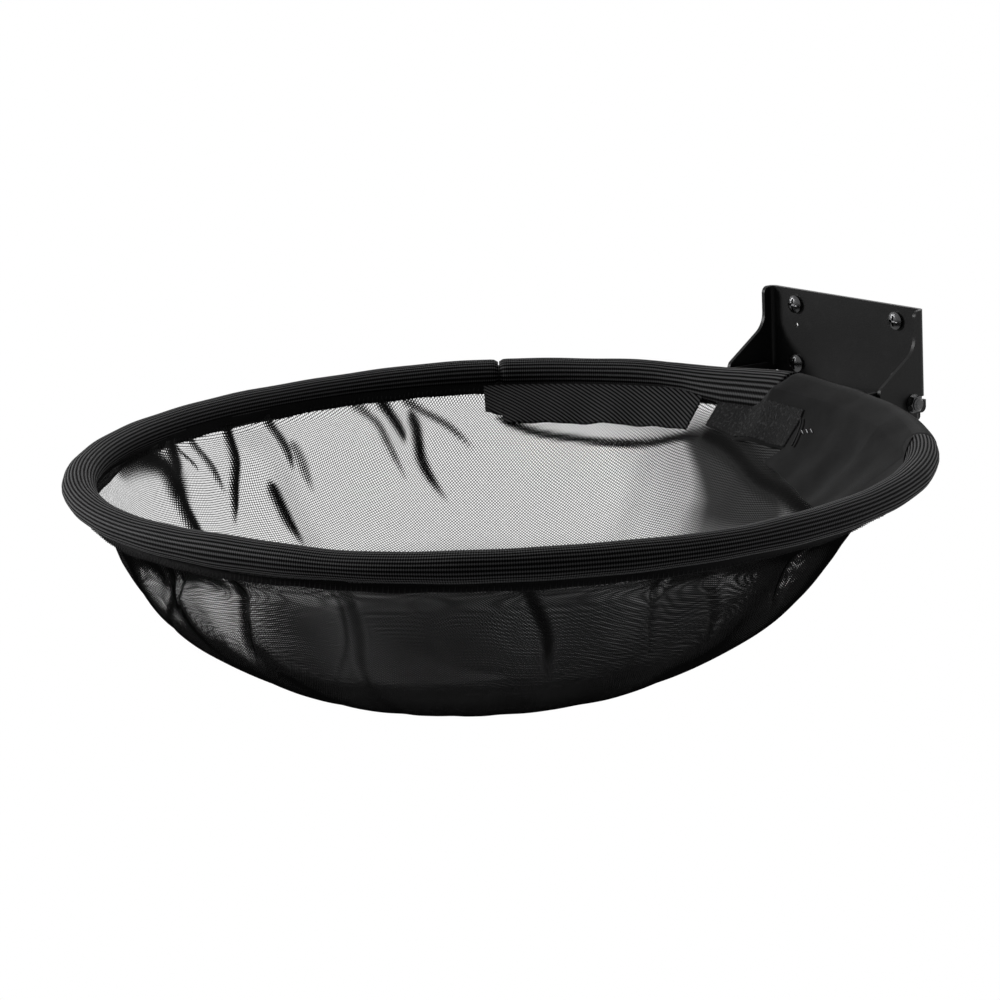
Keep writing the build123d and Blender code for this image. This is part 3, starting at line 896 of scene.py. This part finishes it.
def slanting_knit(start):
    """Ribbed knit cut so that its ribs slant across the panel, its crests painted lighter as a painted
    highlight, with painted shade between them.
    """
    cut = start.on_cloth()
    crest = (cut.part("X") * slant_along + cut.part("Y") * slant_down).wave(slant_pitch / 1000)
    stitch = (cut.part("X") * slant_down - cut.part("Y") * slant_along).wave(stitch_pitch / 1000)
    fuzz = cut.noise(2600.0, 4.0)
    height = 0.7 * crest + 0.3 * stitch * (1 - 0.5 * crest) + 0.12 * fuzz
    return {
        # Base colour lighter on the crests, a painted highlight, and darker between them, painted shade.
        "Base Color": (crest * 0.7 + fuzz * 0.3).between(0.15, 0.9).blend(grey(0.002), grey(0.032)),
        "Roughness": 0.62 + 0.08 * fuzz,
        "Normal": height.bump(0.8, 0.0006),
        # A black diffuse mixed in between the ribs: painted shade.
        "Pits": ((1 - crest) * (1 - 0.6 * stitch)).between(0.15, 0.8) * 0.9,
    }


slant_knit = finish("slanting_knit", slanting_knit, Specular_IOR_Level=0.05)
left_angle = np.linspace(-166.0, -130.9, 360)
left_length = np.interp(left_angle, (-166, -134, -133.6, -131), (27, 26.6, 20.6, 18))
left_length = left_length + waves(left_angle * mm_per_degree, 33, (37, 17), 0.5)
left_panel = quilt("left_flap_panel", *panel_sheet(left_angle, left_length), slant_knit)
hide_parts("left_flap")

# Right flap: smooth brushed knit, pulled tight from the casing's top down to a long panel
# inside the bowl, with a slanting lower edge and a notch. It covers the hinge plate's right arm.
# Where the smooth casing, then its corner and its end piece, start or end, in degrees.
right_start = 137.0
right_end = 179.9
right_corner_start = 128.0
right_panel_end = 190.8
# Points down the hanging part, and how much fuller than the casing its corner is.
drape_steps = 70
corner_proud = 1.07
# The panel's lower edge: degrees at its head, then degrees and length down at its foot.
right_edge = (
    (128.0, 128.0, 53.5),
    (138.0, 139.5, 53.5),
    (150.0, 154.5, 52.0),
    (155.5, 164.0, 47.2),
    (160.0, 174.4, 39.6),
    (164.5, 171.4, 28.8),
    (183.4, 183.4, 30.0),
    (190.8, 190.8, 23.0),
)


def drape_foot(head):
    """Where the cloth that starts at an angle on the rim ends: degrees, and length down in mm."""
    at, foot, down = np.transpose(right_edge)
    return np.interp(head, at, foot), np.interp(head, at, down)


def drape_slack(along, angle):
    """A soft swell that grows down the flap, in mm."""
    return waves(angle * mm_per_degree, 41, (71, 37), 1.5) * np.clip(along / 30, 0, 1)


def drape_rise(along, angle):
    """The flap starts high, on the tube's top, and settles onto the panel's line, dented once."""
    hold = np.interp(angle, (137, 150, 179.9, 184), (0, 1, 1, 0))
    settle = np.exp(-((np.maximum(along, 0) / 18.0) ** 1.7))
    dent = -1.6 * np.exp(-(((angle - 168) / 6) ** 2) - ((along - 12) / 6) ** 2)
    return hold * (6.6 + behind_lift(angle)) * settle + drape_slack(along, angle) + hold * dent


def drape_rows(head):
    """The hanging part for each angle: face, rolled edge and back, as degrees, out and up."""
    foot, length = drape_foot(head)
    share = np.linspace(0.03, 1, drape_steps)
    edge = np.linspace(math.pi / 2, -math.pi / 2, 7)[1:-1]
    half = panel_thick / 2
    flat = 0 * share
    share = np.concatenate([share, 1 + 0 * edge, share[::-1]])
    past = np.concatenate([flat, half * np.cos(edge), flat])
    side = np.concatenate([flat + half, half * np.sin(edge), flat - half])
    along = share * length[:, None] + past
    angle = head[:, None] + (foot - head)[:, None] * share**1.6
    above = np.where(side < half, drape_slack(along, angle), drape_rise(along, angle)) + side
    x, y = on_panel(along, above)
    return angle, x, y, along


def drape(head):
    """The smooth flap in closed sections: round the rim from below, over it and down inside."""
    angle, x, y, along = drape_rows(head)
    phi = np.radians(np.linspace(-90, 118, 56))
    over_x = casing_half_width * np.cos(phi)
    over_y = casing_half_height * np.sin(phi)
    over_y = over_y + (behind_lift(head) + crown(head))[:, None] * top_share(over_y)
    phi = np.radians(np.linspace(205, 270, 12))
    foot_x = casing_half_width * np.cos(phi)
    foot_y = casing_half_height * np.sin(phi)
    first = np.clip((head[0] + 1.6 - head) / 1.0, 0, 1)
    last = np.clip((head - head[-1] + 1.0) / 0.6, 0, 1)
    tuck = 1 - 0.1 * (first + last)[:, None]
    swell = waves(head * mm_per_degree, 43, (61, 33), 0.5)[:, None]
    wrap = np.concatenate([over_x * (1 + 0.02 * swell) * tuck, x, foot_x * tuck], 1)
    high = np.concatenate([over_y * (1 + 0.03 * swell) * tuck, y, foot_y * tuck], 1)
    turned = np.concatenate([head[:, None] + 0 * over_x, angle, head[:, None] + 0 * foot_x], 1)
    step = np.hypot(np.diff(wrap, axis=1), np.diff(high, axis=1))
    return turned, wrap, high, np.concatenate([0 * step[:, :1], np.cumsum(step, axis=1)], 1)


def brushed(start):
    """Smooth knit with a short brushed nap, cloudy where it is worn."""
    cut = start.on_cloth()
    cloud = cut.noise(75.0, 5.0)
    nap = cut.noise(1500.0, 5.0)
    height = nap * 0.6 + cloud * 0.4
    worn = (cloud * 0.75 + nap * 0.25).between(0.3, 0.7)
    return {
        "Base Color": worn.blend(grey(0.002), grey(0.0055)),
        "Roughness": 0.8 + 0.1 * nap,
        "Normal": height.bump(0.35, 0.0006),
    }


brushed_knit = finish(
    "brushed_knit", brushed, Specular_IOR_Level=0.05, Sheen_Weight=0.03, Sheen_Roughness=0.6
)


def drape_piece(name, angle, x, y, down):
    """A piece of the smooth flap from its places round the rim."""
    points = at_rim(angle, tube_circle + x, y)
    return quilt(name, points, np.radians(angle) * tube_circle / 1000, down / 1000, brushed_knit)


right_casing = drape_piece("right_flap_drape", *drape(np.linspace(right_start, right_end, 160)))
for name, first, last, cut_length in (
    ("corner", right_corner_start, right_start + 0.3, 0.107),
    ("end", right_end - 0.3, right_panel_end, 0.053),
):
    head = np.linspace(first, last, 44)
    angle, x, y, along = drape_rows(head)
    if name == "corner":
        phi = np.radians(np.interp(head, (first, last), (188, 112)))[:, None]
        phi = phi + (math.radians(198) - phi) * np.linspace(0, 1, 10)
        over = casing_half_height * corner_proud * np.sin(phi)
        over = over + crown(head)[:, None] * np.clip(np.sin(phi), 0, 1)
        x = np.concatenate([casing_half_width * corner_proud * np.cos(phi), x], 1)
        y = np.concatenate([over, y], 1)
        angle = np.concatenate([head[:, None] + 0 * phi, angle], 1)
        along = np.concatenate([(phi - phi[:, -1:]) * 7.5, along], 1)
    edge = drape_piece("right_flap_" + name, angle, x, y, along)
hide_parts("right_flap")


def on_drape(angle, along, above):
    """A place on the smooth flap's face, some mm above it."""
    x, y = on_panel(along, drape_rise(along, angle) + panel_thick / 2 + above)
    return at_rim(angle, tube_circle + x, y)


# A seam beside the tape's end with the cloth folded along it, and three pale stitches.
seam = fair(((174.5, 8.2), (173.2, 9.8), (172.0, 12.0), (171.0, 17.5), (170.2, 24.0), (169.9, 28.0)), 40)
seam_angle, seam_down = np.transpose(seam)
threads("tape_seam", [on_drape(seam_angle - 0.25, seam_down, 0.2)], 0.0005, black_thread)
seam_angle, seam_down = seam_angle[14:], seam_down[14:]
threads("tape_fold", [on_drape(seam_angle - 1.0, seam_down + 0.5, -0.3)], 0.0011, brushed_knit)
for where, length in ((169.3, 19.2), (168.4, 18.0), (167.5, 17.0)):
    stitch = np.linspace(-1, 1, 5)
    stitch = on_drape(where + 0.5 * stitch, length - 0.8 * stitch, 0.35)
    threads("tape_stitch", [stitch], 0.0003, grey_thread)

# Closure tape: a stiff strip of hook tape sewn flat on the right panel and trimmed with its
# edge. Its hooks are speckled light and dark, and its right end has a seam beside it.
tape_start = 171.6
tape_end = 190.0
tape_drop = 8.0
tape_width = 21.5
tape_lift = 1.6
# Its edge's height on the flap in mm, then where it is trimmed and the flap ends, in degrees.
tape_edge = 0.4
tape_corner = 183.4
panel_past = 190


def hooks(start):
    """Stiff little hooks, speckled light and dark."""
    cut = start.on_cloth()
    grit = cut.noise(900.0, 4.0)
    speck = cut.noise(520.0, 5.0).between(0.5, 0.66)
    height = speck * 0.5 + grit
    return {
        "Base Color": (speck * 0.7 + grit * 0.3).blend(grey(0.002), grey(0.024)),
        "Roughness": 0.5 + 0.2 * grit,
        "Normal": height.bump(0.9, 0.0006),
    }


hook_cloth = finish("hook_tape", hooks, Specular_IOR_Level=0.05)


def tape_points():
    """The tape follows the flap, its left corner trimmed, each row of hooks a little uneven."""
    angle = np.linspace(tape_start, tape_end, 160)
    random = np.random.default_rng(9)
    foot = tape_drop + tape_width - tape_edge
    trimmed = np.minimum(tape_drop + tape_width, drape_foot(angle)[1] - tape_edge)
    foot = np.where(angle > tape_corner, trimmed, foot)
    share = np.concatenate([[0], np.linspace(0, 1, 56), [1]])
    along = tape_drop + (foot[:, None] - tape_drop) * share
    wide = angle[:, None] + 0 * along
    height = tape_lift + random.uniform(-0.2, 0.2, along.shape)
    height[:, 0] = height[:, -1] = tape_edge
    height[0] = height[-1] = tape_edge
    above = height + np.where(wide < panel_past, drape_rise(along, wide), 0)
    x, y = on_panel(along, above)
    return at_rim(wide, tube_circle + x, y), np.radians(wide) * tube_circle / 1000, along / 1000


tape = quilt("closure_tape_hooks", *tape_points(), hook_cloth)
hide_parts("closure_tape")

# Room: a plain white floor well below the hammock, and soft round lamps above it, behind it
# and on both sides, the strongest on the left.
floor_level = -1.3
floor_reach = 30


def lamp(name, place, aim, size, power):
    """A soft round lamp, its size in metres and its power in watts, turned to a place."""
    light = bpy.data.lights.new(name, "AREA")
    light.shape = "DISK"
    light.size = size
    light.energy = power
    obj = bpy.data.objects.new(name, light)
    obj.location = place
    obj.rotation_euler = (Vector(aim) - Vector(place)).to_track_quat("-Z", "Y").to_euler()
    bpy.context.collection.objects.link(obj)


bowl_middle = (0, -0.25, 0)
lamp("back_light", (-1.2, 1.5, 1.3), bowl_middle, 0.9, 10)
lamp("top_light", (-0.3, -0.1, 2.2), bowl_middle, 0.9, 20)
lamp("left_light", (-2.0, -1.85, 0.85), bowl_middle, 0.7, 110)
lamp("right_light", (1.5, 1.8, 0.5), (0, -0.1, 0), 0.8, 19)


def white_seen(tree):
    """1 for the rays that see a surface or mirror it or pass through, 0 for those that light."""
    path = tree.nodes.new("ShaderNodeLightPath")
    kinds = ("Is Camera Ray", "Is Glossy Ray", "Is Transmission Ray")
    camera_ray, glossy, passing = (Wire(tree, path.outputs[kind]) for kind in kinds)
    return camera_ray.larger(glossy).larger(passing)


world = bpy.data.worlds.new("room")
bpy.context.scene.world = world
world.use_nodes = True
sky = Wire(world.node_tree)
seen = white_seen(world.node_tree)
dim = sky.node("Background", {}, {"Color": grey(0.17)})
bright = sky.node("Background", {}, {"Color": (1, 1, 1, 1)})
sky.node("MixShader", {}, {0: seen, 1: dim, 2: bright}).onto("World Output")

floor_mesh = bpy.data.meshes.new("floor")
corners = ((-1, -1), (1, -1), (1, 1), (-1, 1))
corners = [(x * floor_reach, y * floor_reach, floor_level) for x, y in corners]
floor_mesh.from_pydata(corners, [], [(0, 1, 2, 3)])
floor = bpy.data.objects.new("floor", floor_mesh)
bpy.context.collection.objects.link(floor)
floor_paint = bpy.data.materials.new("floor_paint")
floor_paint.use_nodes = True
ground = Wire(floor_paint.node_tree)
seen = white_seen(floor_paint.node_tree)
place = ground.on_object()
far_away = ground.node("VectorMath", {"operation": "LENGTH"}, {0: place}, "Value")
matt = ground.node("BsdfDiffuse", {}, {"Color": grey(0.62)})
glow = ground.node("Emission", {}, {"Color": (1, 1, 1, 1), "Strength": 1.0})
white = seen * (0.8 + 0.2 * far_away.between(1.7, 3.0))
ground.node("MixShader", {}, {0: white, 1: matt, 2: glow}).onto("Material Output")
wear(floor, floor_paint)
bpy.context.scene.view_settings.view_transform = "Standard"
